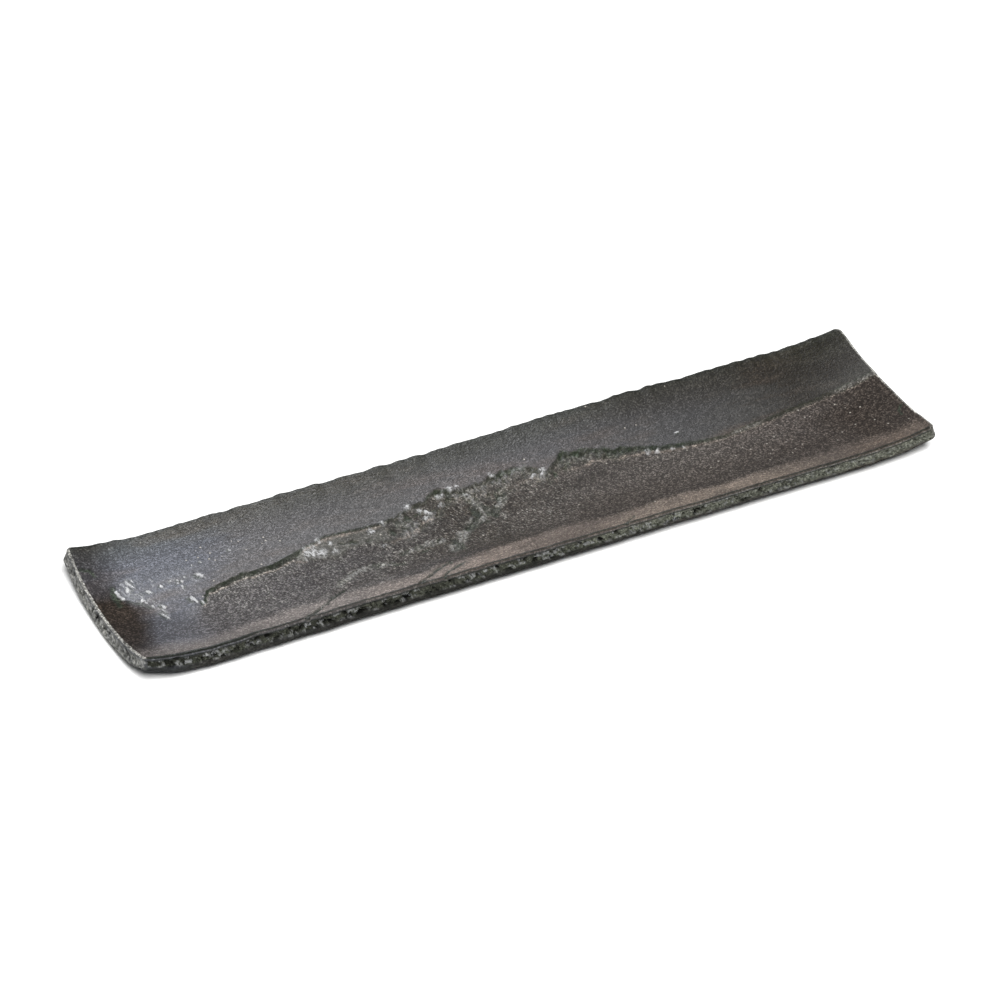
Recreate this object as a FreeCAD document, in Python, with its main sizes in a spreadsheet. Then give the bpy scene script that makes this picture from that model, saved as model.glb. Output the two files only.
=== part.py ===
import FreeCAD, Part
import Sketcher
import math
import os

# Incense tray: one curved stoneware slab, dished across its width and turned up at both ends, that stands
# on four stick-on felt pads. A cleft, where the clay was peeled away in layers, runs along the top face.
# Millimetres. X runs along the tray, Y from the front lip to the back lip, Z up from the table.

SIZES = {
    "tray_length": 272.0,  # along the bottom of the trough, end to end
    "tray_width": 61.0,  # lip to lip, across the top face
    "wall": 5.5,  # thickness of the slab
    "trough_radius": 115.0,  # of the top face, across the width
    "end_run": 25.0,  # length at each end that turns up
    "end_radius": 105.0,  # of the turn at each end
    "corner_radius": 3.0,  # of the four corners, seen from above
    "rim_round": 0.8,  # on the upper edge
    "under_round": 1.6,  # on the lower edge
    "base_width": 30.0,  # of the flat ground under the slab
    "cleft_step": 1.1,  # full drop from the upper skin to the peeled floor
    "upper_step": 0.5,  # the part of that drop above the terrace
    "terrace_width": 5.6,  # of the widest terrace, partway down the step
    "lip_width": 10.0,  # from the front edge to the peeled floor
    "peel_rise": 0.2,  # how far the peeled floor runs out above the skin, so that it fades
    "peel_radius": 62.0,  # of the peeled floor, across the width
    "pad_diameter": 10.0,
    "pad_thickness": 1.0,
    "pad_inset": 2.0,  # from the edges of the ground flat to a pad
}

# The cleft's line, from left to right. Each entry is the place along the half length and across the half
# width, the width of the terrace there and the depth of the step there, all as shares. The cleft fades out
# on the left, where its depth is less than nothing, and runs out past the right end.
CLEFT = [
    (-0.82, -0.16, 0.1, -0.15),
    (-0.75, -0.08, 0.1, 0.55),
    (-0.66, 0.05, 0.1, 0.90),
    (-0.58, 0.05, 0.2, 1.00),
    (-0.51, 0.18, 0.6, 1.00),
    (-0.44, 0.28, 1.0, 1.00),
    (-0.34, 0.29, 0.8, 1.00),
    (-0.25, 0.33, 1.0, 1.00),
    (-0.18, 0.30, 0.4, 1.00),
    (-0.10, 0.36, 0.8, 1.00),
    (0.03, 0.36, 0.6, 1.00),
    (0.11, 0.29, 0.2, 1.00),
    (0.18, 0.36, 0.5, 1.00),
    (0.30, 0.28, 0.3, 0.90),
    (0.41, 0.15, 0.2, 0.80),
    (0.54, 0.01, 0.1, 0.75),
    (0.63, 0.02, 0.1, 0.70),
    (0.75, 0.08, 0.1, 0.65),
    (0.88, 0.16, 0.1, 0.60),
    (1.04, 0.21, 0.1, 0.60),
]

# Places and heights that follow from the sizes, as expressions on the sheet.
HALF_LENGTH = "(Sizes.tray_length / 2)"
HALF_WIDTH = "(Sizes.tray_width / 2)"
FLAT_HALF_LENGTH = "(Sizes.tray_length / 2 - Sizes.end_run)"
UNDER_RADIUS = "(Sizes.trough_radius + Sizes.wall)"
TROUGH_CENTRE = f"(Sizes.pad_thickness + sqrt({UNDER_RADIUS} ^ 2 - (Sizes.base_width / 2) ^ 2))"
TROUGH_LINE = f"({TROUGH_CENTRE} - Sizes.trough_radius)"
PAD_MARGIN = "(Sizes.pad_inset + Sizes.pad_diameter / 2)"

START, END, CENTRE = range(1, 4)  # the points of a line or an arc in a sketch
DOWN = -math.pi / 2  # the lowest point of an upright circle
SAME = 1e-4  # how closely two lengths agree, as a share

doc = FreeCAD.newDocument("incense_tray")


def make_sheet():
    sheet = doc.addObject("Spreadsheet::Sheet", "Sizes")
    for row, (name, number) in enumerate(SIZES.items(), start=1):
        sheet.set(f"A{row}", name)
        sheet.set(f"B{row}", str(number))
        sheet.setAlias(f"B{row}", name)
    doc.recompute()


def value(expression):
    """What an expression on the sheet comes to."""
    return float(doc.Sizes.evalExpression(expression))


def origin_plane(body, role):
    return next(plane for plane in body.Origin.OriginFeatures if plane.Role == role)


def new_sketch(body, name, role, offset="0"):
    """A sketch that lies parallel to one of the body's own origin planes."""
    sketch = body.newObject("Sketcher::SketchObject", name)
    sketch.AttachmentSupport = [(origin_plane(body, role), "")]
    sketch.MapMode = "FlatFace"
    sketch.setExpression("AttachmentOffset.Base.z", offset)
    return sketch


def add_line(sketch, start, end):
    return sketch.addGeometry(Part.LineSegment(FreeCAD.Vector(*start, 0), FreeCAD.Vector(*end, 0)))


def add_arc(sketch, centre, radius, start, end):
    circle = Part.Circle(FreeCAD.Vector(*centre, 0), FreeCAD.Vector(0, 0, 1), radius)
    return sketch.addGeometry(Part.ArcOfCircle(circle, start, end))


def tie(sketch, kind, *references):
    sketch.addConstraint(Sketcher.Constraint(kind, *references))


def size(sketch, kind, name, references, expression):
    """A constraint with a size that is bound to the sheet."""
    index = sketch.addConstraint(Sketcher.Constraint(kind, *references, value(expression)))
    sketch.renameConstraint(index, name)
    sketch.setExpression(f"Constraints.{name}", expression)


def pin(sketch, name, geometry, point, across, up):
    """Holds a point of a line or an arc at its place from the sketch's origin."""
    size(sketch, "DistanceX", f"{name}_across", (geometry, point), across)
    size(sketch, "DistanceY", f"{name}_up", (geometry, point), up)


def make_section(body):
    """The slab cut across: two arcs about one centre, closed by a straight edge at each lip."""
    sketch = new_sketch(body, "slab_section", "YZ_Plane")
    centre = (0, value(TROUGH_CENTRE))
    half_angle = math.asin(SIZES["tray_width"] / 2 / SIZES["trough_radius"])
    top = add_arc(sketch, centre, SIZES["trough_radius"], DOWN - half_angle, DOWN + half_angle)
    under = add_arc(sketch, centre, value(UNDER_RADIUS), DOWN - half_angle, DOWN + half_angle)
    tie(sketch, "Coincident", top, CENTRE, under, CENTRE)
    tie(sketch, "Horizontal", top, START, top, END)
    for end in (START, END):
        edge = add_line(sketch, sketch.getPoint(top, end)[:2], sketch.getPoint(under, end)[:2])
        tie(sketch, "Coincident", edge, START, top, end)
        tie(sketch, "Coincident", edge, END, under, end)
        tie(sketch, "PointOnObject", top, CENTRE, edge)
    pin(sketch, "centre", top, CENTRE, "0", TROUGH_CENTRE)
    size(sketch, "Radius", "top_radius", (top,), "Sizes.trough_radius")
    size(sketch, "Radius", "under_radius", (under,), UNDER_RADIUS)
    size(sketch, "DistanceX", "lip_to_lip", (top, START, top, END), "Sizes.tray_width")
    return sketch


def make_trough_line(body):
    """The bottom of the trough from the middle to the right end: a straight run, then the turned-up arc."""
    sketch = new_sketch(body, "trough_line", "XZ_Plane")
    height = value(TROUGH_LINE)
    flat = value(FLAT_HALF_LENGTH)
    radius = SIZES["end_radius"]
    run = add_line(sketch, (0, height), (flat, height))
    turn_end = DOWN + math.asin(SIZES["end_run"] / radius)
    turn = add_arc(sketch, (flat, height + radius), radius, DOWN, turn_end)
    tie(sketch, "Horizontal", run)
    tie(sketch, "Tangent", run, END, turn, START)
    pin(sketch, "middle", run, START, "0", TROUGH_LINE)
    size(sketch, "DistanceX", "flat_length", (run, START, run, END), FLAT_HALF_LENGTH)
    size(sketch, "Radius", "turn_radius", (turn,), "Sizes.end_radius")
    size(sketch, "DistanceX", "turn_run", (turn, START, turn, END), "Sizes.end_run")
    return sketch


def make_slab(body):
    """Half the slab swept along the trough line, and its mirror image."""
    section = make_section(body)
    trough_line = make_trough_line(body)
    doc.recompute()
    half = body.newObject("PartDesign::AdditivePipe", "half_slab")
    half.Profile = section
    half.Spine = (trough_line, ["Edge1", "Edge2"])
    doc.recompute()
    whole = body.newObject("PartDesign::Mirrored", "whole_slab")
    whole.Originals = [half]
    whole.MirrorPlane = (origin_plane(body, "YZ_Plane"), [""])
    body.Tip = whole
    doc.recompute()


def edge_middle(edge):
    return edge.valueAt((edge.FirstParameter + edge.LastParameter) / 2)


def reach_from_trough_axis(point):
    """How far a point lies from the axis that the slab's arcs are drawn about, which bends with the ends."""
    turned = max(0, abs(point.x) - value(FLAT_HALF_LENGTH))
    turn_centre = value(TROUGH_LINE) + SIZES["end_radius"]
    below_turn_centre = math.hypot(turned, turn_centre - point.z)
    return math.hypot(point.y, below_turn_centre - SIZES["end_radius"] + SIZES["trough_radius"])


def edges_at(shape, reach):
    """The names of the slab's edges at one distance from the trough's axis, less the seams at the turns."""
    names = []
    for number, edge in enumerate(shape.Edges, start=1):
        middle = edge_middle(edge)
        at_reach = math.isclose(reach_from_trough_axis(middle), reach, rel_tol=SAME)
        at_seam = math.isclose(abs(middle.x), value(FLAT_HALF_LENGTH), rel_tol=SAME)
        if at_reach and not at_seam:
            names.append(f"Edge{number}")
    return names


def round_edges(body, name, reach, radius):
    fillet = body.newObject("PartDesign::Fillet", name)
    fillet.Base = (fillet.BaseFeature, edges_at(fillet.BaseFeature.Shape, reach))
    fillet.setExpression("Radius", radius)
    doc.recompute()


def round_slab(body):
    """The four corners first, then the rim and the lower edge that run round them."""
    top = SIZES["trough_radius"]
    under = value(UNDER_RADIUS)
    round_edges(body, "rounded_corners", (top + under) / 2, "Sizes.corner_radius")
    round_edges(body, "rounded_rim", top, "Sizes.rim_round")
    round_edges(body, "rounded_under", under, "Sizes.under_round")


def check_cut(body, before):
    if body.Shape.Volume >= before:
        raise RuntimeError(f"{body.Tip.Name} cut nothing away")


def grind_base(body):
    """The foot of the slab ground flat, at the height of the pads."""
    sketch = new_sketch(body, "ground_outline", "XY_Plane", "Sizes.pad_thickness")
    along = value(HALF_LENGTH)
    across = value(HALF_WIDTH)
    corners = [(-along, -across), (along, -across), (along, across), (-along, across)]
    sides = [add_line(sketch, corners[n - 1], corner) for n, corner in enumerate(corners)]
    for n, side in enumerate(sides):
        tie(sketch, "Coincident", sides[n - 1], END, side, START)
        tie(sketch, "Horizontal" if n % 2 else "Vertical", side)
    pin(sketch, "front_left", sides[0], END, f"-{HALF_LENGTH}", f"-{HALF_WIDTH}")
    pin(sketch, "back_right", sides[2], END, HALF_LENGTH, HALF_WIDTH)
    before = body.Shape.Volume
    ground = body.newObject("PartDesign::Pocket", "ground_flat")
    ground.Profile = sketch
    ground.Type = "ThroughAll"
    doc.recompute()
    check_cut(body, before)


def skin_height(along, across):
    """The height of the top face before it was peeled: the trough, and the lift of the turned-up end."""
    turned = f"max(0; abs({along}) - {FLAT_HALF_LENGTH})"
    lift = f"Sizes.end_radius - sqrt(Sizes.end_radius ^ 2 - {turned} ^ 2)"
    return f"({TROUGH_CENTRE} - sqrt(Sizes.trough_radius ^ 2 - {across} ^ 2) + {lift})"


def add_floor(sketch, inner, outer):
    """The peeled floor: an arc that hangs between its inner end, at the step, and its outer end, at the lip."""
    radius = SIZES["peel_radius"]
    across = inner[0] - outer[0]
    up = inner[1] - outer[1]
    chord = math.hypot(across, up)
    rise = math.sqrt(radius**2 - (chord / 2) ** 2)
    centre_across = (inner[0] + outer[0]) / 2 - rise * up / chord
    centre_up = (inner[1] + outer[1]) / 2 + rise * across / chord
    start = math.atan2(outer[1] - centre_up, outer[0] - centre_across)
    end = math.atan2(inner[1] - centre_up, inner[0] - centre_across)
    floor = add_arc(sketch, (centre_across, centre_up), radius, start, end)
    size(sketch, "Radius", "floor_radius", (floor,), "Sizes.peel_radius")
    return floor


def make_cleft_section(body, number, station, ridge, terrace, depth):
    """What is peeled away at one station: down at the ridge, over the terrace, down again, out to the lip."""
    along = f"({HALF_LENGTH} * {station})"
    ridge_across = f"({HALF_WIDTH} * {ridge})"
    terrace_across = f"({ridge_across} - Sizes.terrace_width * {terrace})"
    lip_across = f"(Sizes.lip_width - {HALF_WIDTH})"
    outline = {
        "ridge_top": (ridge_across, TROUGH_CENTRE),
        "ridge_foot": (ridge_across, f"{skin_height(along, ridge_across)} - Sizes.upper_step * {depth}"),
        "terrace": (terrace_across, f"{skin_height(along, terrace_across)} - Sizes.upper_step * {depth}"),
        "floor": (terrace_across, f"{skin_height(along, terrace_across)} - Sizes.cleft_step * {depth}"),
        "lip": (lip_across, f"{skin_height(along, lip_across)} + Sizes.peel_rise"),
        "lip_top": (lip_across, TROUGH_CENTRE),
    }
    sketch = new_sketch(body, f"cleft_section_{number}", "YZ_Plane", along)
    points = [(value(across), value(up)) for across, up in outline.values()]
    edges = []
    for name, start, end in zip(outline, points, points[1:] + points[:1]):
        if name == "floor":
            edges.append((add_floor(sketch, start, end), END, START))
        else:
            edges.append((add_line(sketch, start, end), START, END))
    for n, (name, (across, up)) in enumerate(outline.items()):
        edge, first, _ = edges[n]
        edge_before, _, last = edges[n - 1]
        tie(sketch, "Coincident", edge_before, last, edge, first)
        pin(sketch, name, edge, first, across, up)
    return sketch


def peel_cleft(body):
    """The ragged cleft: a ruled cut through all its stations."""
    sections = [make_cleft_section(body, n, *entry) for n, entry in enumerate(CLEFT, start=1)]
    doc.recompute()
    before = body.Shape.Volume
    cleft = body.newObject("PartDesign::SubtractiveLoft", "peeled_cleft")
    cleft.Profile = sections[0]
    cleft.Sections = sections[1:]
    cleft.Ruled = True
    doc.recompute()
    check_cut(body, before)


def make_tray():
    body = doc.addObject("PartDesign::Body", "stoneware_tray")
    make_slab(body)
    round_slab(body)
    grind_base(body)
    peel_cleft(body)
    return body


def make_pad(name, along_sign, across_sign):
    """A round felt pad stuck on the ground flat, close to one of its corners."""
    pad = doc.addObject("Part::Cylinder", name)
    pad.setExpression("Radius", "Sizes.pad_diameter / 2")
    pad.setExpression("Height", "Sizes.pad_thickness")
    pad.setExpression("Placement.Base.x", f"{along_sign} * ({FLAT_HALF_LENGTH} - {PAD_MARGIN})")
    pad.setExpression("Placement.Base.y", f"{across_sign} * (Sizes.base_width / 2 - {PAD_MARGIN})")
    return pad


def make_pads():
    pads = []
    for side, across_sign in (("front", -1), ("back", 1)):
        for end, along_sign in (("left", -1), ("right", 1)):
            pads.append(make_pad(f"foot_pad_{side}_{end}", along_sign, across_sign))
    doc.recompute()
    return pads


def write_parts(parts):
    """Writes each piece, once every object of the document has been found sound."""
    for thing in doc.Objects:
        if {"Invalid", "Error"} & set(thing.State):
            raise RuntimeError(f"{thing.Name} failed: {thing.State}")
    for part in parts:
        if part.Shape.isNull() or not part.Shape.isValid():
            raise RuntimeError(f"{part.Label} has no sound shape")
    os.makedirs("parts", exist_ok=True)
    for part in parts:
        part.Shape.exportStep(f"parts/{part.Label}.step")


make_sheet()
write_parts([make_tray(), *make_pads()])
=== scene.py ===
import math
from functools import reduce
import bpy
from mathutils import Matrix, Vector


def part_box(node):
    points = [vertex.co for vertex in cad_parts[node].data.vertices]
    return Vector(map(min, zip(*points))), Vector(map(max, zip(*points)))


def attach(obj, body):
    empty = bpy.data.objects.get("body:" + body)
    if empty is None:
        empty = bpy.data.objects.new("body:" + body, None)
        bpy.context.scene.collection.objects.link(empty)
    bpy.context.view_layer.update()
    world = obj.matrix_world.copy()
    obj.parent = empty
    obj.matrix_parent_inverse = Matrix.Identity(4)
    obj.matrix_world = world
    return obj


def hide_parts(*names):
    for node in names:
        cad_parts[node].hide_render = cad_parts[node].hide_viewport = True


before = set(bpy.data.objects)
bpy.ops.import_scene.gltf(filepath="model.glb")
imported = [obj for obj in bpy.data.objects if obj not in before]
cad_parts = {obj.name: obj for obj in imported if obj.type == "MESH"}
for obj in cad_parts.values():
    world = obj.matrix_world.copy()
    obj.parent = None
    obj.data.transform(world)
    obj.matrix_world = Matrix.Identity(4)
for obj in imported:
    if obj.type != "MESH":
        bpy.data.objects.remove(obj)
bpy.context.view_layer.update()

from types import SimpleNamespace

import bpy
import numpy as np
from mathutils import Vector

mm = 0.001
scene = bpy.context.scene
print("frame: nodes", sorted(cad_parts))


def smooth(low, high, v):  # 0 up to low, 1 from high on, an S-curve between
    t = np.clip((v - low) / (high - low), 0, 1)
    return t * t * (3 - 2 * t)


def fade(low, high, v):  # the same curve falling: 1 up to low, 0 from high on
    return 1 - smooth(low, high, v)


def zone(limits, v):  # 0 outside, 1 inside: where it starts, is full, begins to end, has ended
    start, full, ending, end = limits
    return smooth(start, full, v) * fade(ending, end, v)


def bell(v, middle, reach):  # a bell curve, 1 in its middle
    return np.exp(-((v - middle) / reach) ** 2)


def most(*marks):  # the strongest of several marks, point by point
    return reduce(np.maximum, marks)


def along(points, v):  # straight runs through given points
    x, y = np.array(points, float).T
    return np.interp(v, x, y)


def onLattice(u, v, size):  # the square cell that each point lies in, and its place in that cell
    u, v = np.broadcast_arrays(np.asarray(u, float) / size, np.asarray(v, float) / size)
    iu, iv = np.floor(u).astype(int), np.floor(v).astype(int)
    return iu, iv, u - iu, v - iv


def ripple(u, v, size, seed):  # gradient noise, about -1 to 1: random slopes on a lattice, fifth-power joins
    count = 256
    turn = np.random.default_rng(seed).uniform(0, 2 * np.pi, (count, count))
    iu, iv, fu, fv = onLattice(u, v, size)

    def slope(du, dv):
        angle = turn[(iu + du) % count, (iv + dv) % count]
        return np.cos(angle) * (fu - du) + np.sin(angle) * (fv - dv)

    su, sv = (f ** 3 * (f * (f * 6 - 15) + 10) for f in (fu, fv))
    front = slope(0, 0) * (1 - su) + slope(1, 0) * su
    back = slope(0, 1) * (1 - su) + slope(1, 1) * su
    return 1.5 * (front * (1 - sv) + back * sv)


def grit(u, v, size, seed, layers=2):  # ripples added up, each half as wide and half as high as the last
    return sum(ripple(u, v, size / 2 ** k, seed + k) / 2 ** k for k in range(layers))


# cells round scattered points, each a flat plate with its own height and tilt; also the way to its border
def shards(u, v, size, seed):
    count = 64
    rng = np.random.default_rng(seed)
    spot = rng.uniform(0, 1, (count, count, 2))
    plate = rng.uniform(-1, 1, (count, count, 3))
    iu, iv, fu, fv = onLattice(u, v, size)
    near, second, height = np.full(fu.shape, np.inf), np.full(fu.shape, np.inf), np.zeros(fu.shape)
    for du in (-1, 0, 1):
        for dv in (-1, 0, 1):
            cell = (iu + du) % count, (iv + dv) % count
            offU, offV = fu - du - spot[cell][..., 0], fv - dv - spot[cell][..., 1]
            level, leanU, leanV = np.moveaxis(plate[cell], -1, 0)
            far = np.hypot(offU, offV)
            won = far < near
            second = np.where(won, near, np.minimum(second, far))
            height = np.where(won, level + leanU * offU + leanV * offV, height)
            near = np.where(won, far, near)
    return height, second - near


def wander(s, a, by, size, seeds, layers=2):  # places pushed about by grit, so drawn lines are ragged
    return s + by * grit(s, a, size, seeds[0], layers), a + by * grit(s, a, size, seeds[1], layers)


def turned(s, a, degrees):  # places along and across a direction
    c, d = math.cos(math.radians(degrees)), math.sin(math.radians(degrees))
    return s * c + a * d, a * c - s * d


def nearLine(s, a, places):  # shortest way from each point to a line of straight runs
    best = np.full(np.shape(s), np.inf)
    for (s0, a0), (s1, a1) in zip(places[:-1], places[1:]):
        ds, da = s1 - s0, a1 - a0
        t = np.clip(((s - s0) * ds + (a - a0) * da) / (ds * ds + da * da), 0, 1)
        best = np.minimum(best, np.hypot(s - s0 - t * ds, a - a0 - t * da))
    return best


def linear(code):  # sRGB hex to linear RGBA
    parts = [int(code[k:k + 2], 16) / 255 for k in (1, 3, 5)]
    return [p / 12.92 if p <= 0.04045 else ((p + 0.055) / 1.055) ** 2.4 for p in parts] + [1.0]


# one node, with its settings (a property, an input by name or number, a hex colour, a ramp's stops) and links
def addNode(tree, kind, settings=None, links=None, out=None):
    made = tree.nodes.new("ShaderNode" + kind)
    for key, value in (settings or {}).items():
        if key == "stops":  # (place, hex)
            for k, (place, code) in enumerate(value):
                stop = made.color_ramp.elements[k] if k < 2 else made.color_ramp.elements.new(place)
                stop.position, stop.color = place, linear(code)
        elif isinstance(key, str) and hasattr(made, key):
            setattr(made, key, value)
        else:
            made.inputs[key].default_value = linear(value) if isinstance(value, str) else value
    for key, source in (links or {}).items():
        tree.links.new(source, made.inputs[key])
    return made if out is None else made.outputs[out]


def newMaterial(name):
    made = bpy.data.materials.new(name)
    made.use_nodes = True
    made.node_tree.nodes.clear()
    return made, made.node_tree


# points in mm; values hold one number per point under each name
def meshPiece(name, material, points, quads, triangles=(), values=None):
    mesh = bpy.data.meshes.new(name)
    sizes = np.concatenate([np.full(len(quads), 4), np.full(len(triangles), 3)])
    corners = np.concatenate([np.ravel(quads), np.ravel(triangles)]).astype(np.int32)
    mesh.vertices.add(len(points))
    mesh.loops.add(len(corners))
    mesh.polygons.add(len(sizes))
    mesh.vertices.foreach_set("co", (np.asarray(points) * mm).astype(np.float32).ravel())
    mesh.loops.foreach_set("vertex_index", corners)
    mesh.polygons.foreach_set("loop_start", (np.cumsum(sizes) - sizes).astype(np.int32))
    mesh.update(calc_edges=True)
    mesh.validate()
    mesh.polygons.foreach_set("use_smooth", np.ones(len(mesh.polygons), bool))
    for key, value in (values or {}).items():
        mesh.attributes.new(key, "FLOAT", "POINT").data.foreach_set("value", np.asarray(value, np.float32))
    mesh.materials.append(material)
    piece = bpy.data.objects.new(name, mesh)
    scene.collection.objects.link(piece)
    return piece


def gridPoints(nu, nv, first=0):  # point numbers of a grid of nu by nv cells
    return np.arange((nu + 1) * (nv + 1)).reshape(nu + 1, nv + 1) + first


def gridQuads(k):  # a grid's faces, counter-clockwise seen from above
    return np.stack([k[:-1, :-1], k[1:, :-1], k[1:, 1:], k[:-1, 1:]], -1).reshape(-1, 4)


def gridEdge(k):  # a grid's rim points in order, counter-clockwise seen from above
    return np.concatenate([k[:-1, 0], k[-1, :-1], k[:0:-1, -1], k[0, :0:-1]])


def ringQuads(rings):  # faces between closed rings, outwards where each ring lies under the last
    after = np.roll(rings, -1, axis=1)
    return np.stack([rings[:-1], rings[1:], after[1:], after[:-1]], -1).reshape(-1, 4)


studio = {
    "azimuth": -26.415, "elevation": 35.716, "distance": 1425.0,  # degrees, mm: fitted to the rim corners
    "aim": (2.61, 4.51, 12.6),  # mm from the image's middle to the tray's: right, up, above the floor
    "lens": 165.7, "sensor": 36.0, "clip": (0.05, 50.0),  # mm, mm, metres
    "floorSize": 6.0, "floorCells": 8, "floorColour": "#f4f4f3",  # metres
    "tooth": 1.11, "toothDepth": 0.1,  # mm, the grain of the paper
    "ambient": 0.09, "ambientColour": "#f1f0ee",
}
backdrop = bpy.data.collections.new("backdrop")  # paper and tray are lit by lamps of their own
ware = bpy.data.collections.new("ware")
# place, aim and size in metres, brightness, colour, whether it lights matt surfaces or shows in gloss,
# and the one thing that it lights
lamps = [
    ("paper_light", (-1.2, -3.68, 4.52), (0, 0, 0), (1.9, 1.9), 63.0, "#ffffff", "matt", backdrop),
    ("key_back", (-0.5, 0.9, 1.9), (0, 0, 0), (1.2, 1.0), 15.6, "#fffefc", "matt", ware),
    ("fill_front", (0.3, -2.0, 1.2), (0, 0, 0), (1.6, 1.2), 8.0, "#fffdfa", "matt", ware),
    ("sheen_back_left", (-0.02, 0.20, 0.23), (-0.12, 0.01, 0), (0.18, 0.15), 4.5, "#f0f1f8", "gloss", None),
    ("sheen_back_middle", (0.10, 0.20, 0.23), (0, 0.01, 0), (0.12, 0.15), 1.8, "#f0f1f8", "gloss", None),
    ("sheen_back_right", (0.22, 0.20, 0.23), (0.10, 0.01, 0), (0.12, 0.15), 1.2, "#f0f1f8", "gloss", None),
    ("horizon_strip", (0.23, 0.95, 0.15), (0, 0, 0.02), (0.42, 0.17), 0.8, "#fff4e8", "gloss", None),
]


def makeCamera():
    a, e = math.radians(studio["azimuth"]), math.radians(studio["elevation"])
    right = Vector((math.cos(a), math.sin(a), 0))
    forward = Vector((-math.sin(a) * math.cos(e), math.cos(a) * math.cos(e), -math.sin(e)))
    up = right.cross(forward)
    sideways, upward, height = studio["aim"]
    eye = bpy.data.cameras.new("camera")
    eye.sensor_width, eye.lens = studio["sensor"], studio["lens"]
    eye.clip_start, eye.clip_end = studio["clip"]
    camera = bpy.data.objects.new("camera", eye)
    target = Vector((0, 0, height)) - right * sideways - up * upward
    camera.location = (target - forward * studio["distance"]) * mm
    camera.rotation_euler = forward.to_track_quat("-Z", "Y").to_euler()
    scene.collection.objects.link(camera)
    scene.camera = camera


def mattPaper():  # white paper sweep: a faint tooth, no gloss
    made, tree = newMaterial("matt_white_paper")
    where = addNode(tree, "TexCoord", out="Object")
    tooth = addNode(tree, "TexNoise", {"Scale": 1 / (studio["tooth"] * mm), "Detail": 2.0},
                    {"Vector": where}, "Fac")
    bump = addNode(tree, "Bump", {"Strength": 0.05, "Distance": studio["toothDepth"] * mm},
                   {"Height": tooth}, "Normal")
    skin = addNode(tree, "BsdfPrincipled", {"Base Color": studio["floorColour"], "Roughness": 0.9,
                                            "Specular IOR Level": 0.0}, {"Normal": bump}, "BSDF")
    addNode(tree, "OutputMaterial", {}, {"Surface": skin})
    return made


def makeFloor():  # a flat square grid
    count, half = studio["floorCells"], studio["floorSize"] / mm / 2
    places = np.linspace(-half, half, count + 1)
    u, v = np.meshgrid(places, places, indexing="ij")
    points = np.stack([u, v, 0 * u], -1).reshape(-1, 3)
    floor = meshPiece("floor", mattPaper(), points, gridQuads(gridPoints(count, count)))
    floor.visible_glossy = False  # the photo's white is a cut-out: the real table doesn't shine in the glaze
    backdrop.objects.link(floor)


def softbox(name, place, aim, size, brightness, colour, shows, only):  # an area lamp that faces its aim
    lamp = bpy.data.lights.new(name, "AREA")
    lamp.shape, lamp.size, lamp.size_y = "RECTANGLE", *size
    lamp.energy = brightness * math.pi * size[0] * size[1]
    lamp.color = linear(colour)[:3]
    made = bpy.data.objects.new(name, lamp)
    made.location = place
    made.rotation_euler = (Vector(aim) - Vector(place)).to_track_quat("-Z", "Y").to_euler()
    made.visible_camera, made.visible_diffuse, made.visible_glossy = False, shows == "matt", shows == "gloss"
    scene.collection.objects.link(made)
    if only:
        made.light_linking.receiver_collection = only


def makeWorld():
    world = bpy.data.worlds.new("studio")
    scene.world = world
    world.use_nodes = True
    sky = world.node_tree.nodes["Background"]
    sky.inputs["Color"].default_value = linear(studio["ambientColour"])
    sky.inputs["Strength"].default_value = studio["ambient"]
    scene.view_settings.view_transform = "Standard"


makeCamera()
makeWorld()
makeFloor()
for lamp in lamps:
    softbox(*lamp)
print("studio: camera, floor and", len(lamps), "lamps in place")


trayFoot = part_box("stoneware_tray")[0][2] / mm  # height of the ground flat, on the pads
tray = {
    "length": 272.0, "width": 61.0, "wall": 5.5,  # mm along the trough line, over the rims, through the slab
    "thinning": [  # what the slab's edge lacks
        (-136, 0.0), (-126, -0.35), (-100, -0.45), (-80, -0.2), (-60, 0.1), (0, 0.45), (40, 0.8), (80, 0.95),
        (136, 1.0),
    ],
    "cornerLack": 1.5, "cornerAt": (-135, -30), "cornerReach": 6.708,  # and more at the front left corner
    "troughRadius": 115.0, "endRun": 25.0, "endRadius": 105.0,  # the dish across, and the turn-up at each end
    "leftCorner": 1.6, "rightCorner": 2.4, "rimRound": 0.8, "underRound": 0.7, "endUnderRound": 1.1,
    "baseWidth": 30.0, "baseInset": 0.7, "baseUneven": 0.06,  # flat ground on the underside
    # cells from the left and from the front, and how far they reach (mm): about half a millimetre each,
    # finer under the flakes and across the torn edge
    "columns": [(0, 0.0), (13, 6.4), (99, 38.4), (465, 219.4), (548, 270.9)],
    "bands": [(0, 0.0), (7, 3.2), (39, 22.2), (97, 43.2), (125, 57.2), (132, 60.4)],
    "rimAngles": [18, 40, 65, 90], "wallCells": 8, "underAngles": [30, 60, 90],  # points down the wall
    "reliefReach": 3.0, "finishReach": 0.9,  # mm that the top's relief and finishes run on down the wall
    "backRise": 1.4, "backDrop": 0.7, "backLift": 0.6,  # the slab isn't true: its back right rim is higher
    "leftSag": 1.0, "rightCrown": 1.2,
    "backRagged": 0.75, "frontRagged": 0.24,
    "slits": [3.0, -2.8],  # places of two drying cracks in the left end, mm across
}
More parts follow.
